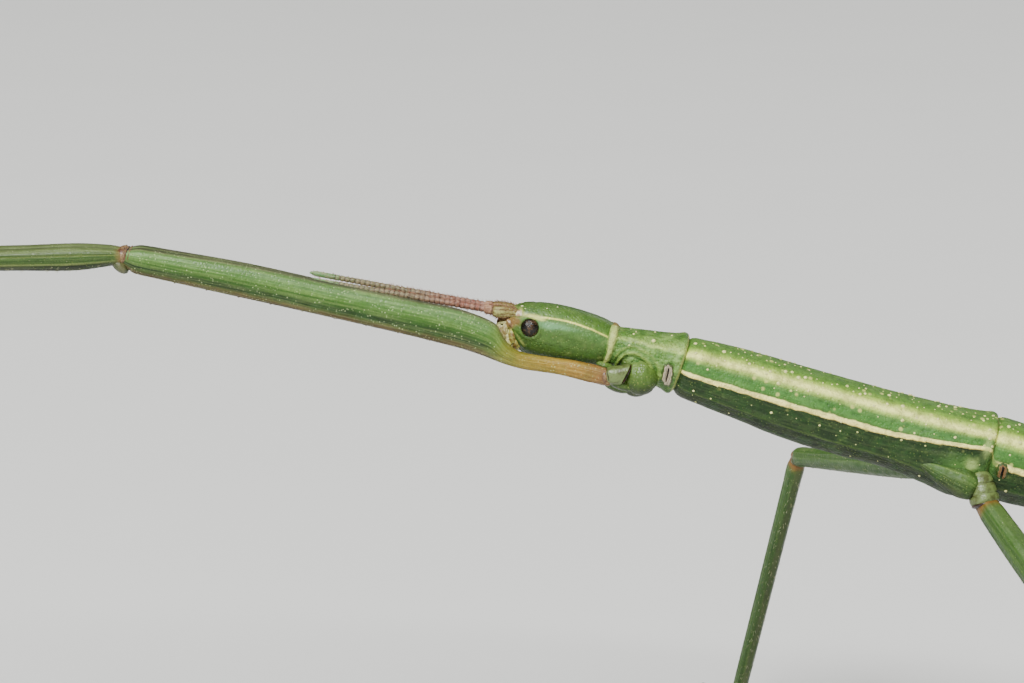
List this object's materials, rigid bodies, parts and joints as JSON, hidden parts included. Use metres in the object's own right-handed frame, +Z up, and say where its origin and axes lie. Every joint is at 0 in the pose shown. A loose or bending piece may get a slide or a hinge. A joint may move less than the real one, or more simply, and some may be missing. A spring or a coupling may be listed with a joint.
{
  "type": "stick insect",
  "caption": "Green female stick insect, standing on its middle and hind feet with both fore legs stretched out ahead of its head.",
  "frame": {"origin": "middle of the model's box, on the floor the feet stand on", "axes": "+X from the head to the tail, +Y the animal's right, +Z up"},
  "size_m": [0.1428, 0.0692, 0.0338],
  "materials": {
    "head": "satin",
    "eye": "gloss",
    "antenna": "matt",
    "mouthparts": "matt",
    "thorax": "satin",
    "abdomen": "satin",
    "legs": "satin"
  },
  "bodies": {
    "root": {"prothorax": "thorax", "mesothorax": "thorax", "metathorax": "thorax", "median_segment": "abdomen", "abdomen_2": "abdomen", "abdomen_3": "abdomen", "abdomen_4": "abdomen", "abdomen_5": "abdomen", "abdomen_6": "abdomen", "abdomen_7": "abdomen", "abdomen_8": "abdomen", "abdomen_9": "abdomen", "abdomen_10": "abdomen", "operculum": "abdomen", "left_cercus": "abdomen", "right_cercus": "abdomen", "left_eye": "eye", "right_eye": "eye", "head": "head", "mouthparts": "mouthparts", "left_antenna": "antenna", "right_antenna": "antenna", "left_fore_coxa": "thorax", "left_fore_femur": "legs", "left_fore_tibia": "legs", "left_fore_tarsus": "legs", "right_fore_coxa": "thorax", "right_fore_femur": "legs", "right_fore_tibia": "legs", "right_fore_tarsus": "legs", "left_middle_coxa": "thorax", "left_middle_femur": "legs", "left_middle_tibia": "legs", "left_middle_tarsus": "legs", "right_middle_coxa": "thorax", "right_middle_femur": "legs", "right_middle_tibia": "legs", "right_middle_tarsus": "legs", "left_hind_coxa": "thorax", "left_hind_femur": "legs", "left_hind_tibia": "legs", "left_hind_tarsus": "legs", "right_hind_coxa": "thorax", "right_hind_femur": "legs", "right_hind_tibia": "legs", "right_hind_tarsus": "legs"}
  },
  "joints": []
}
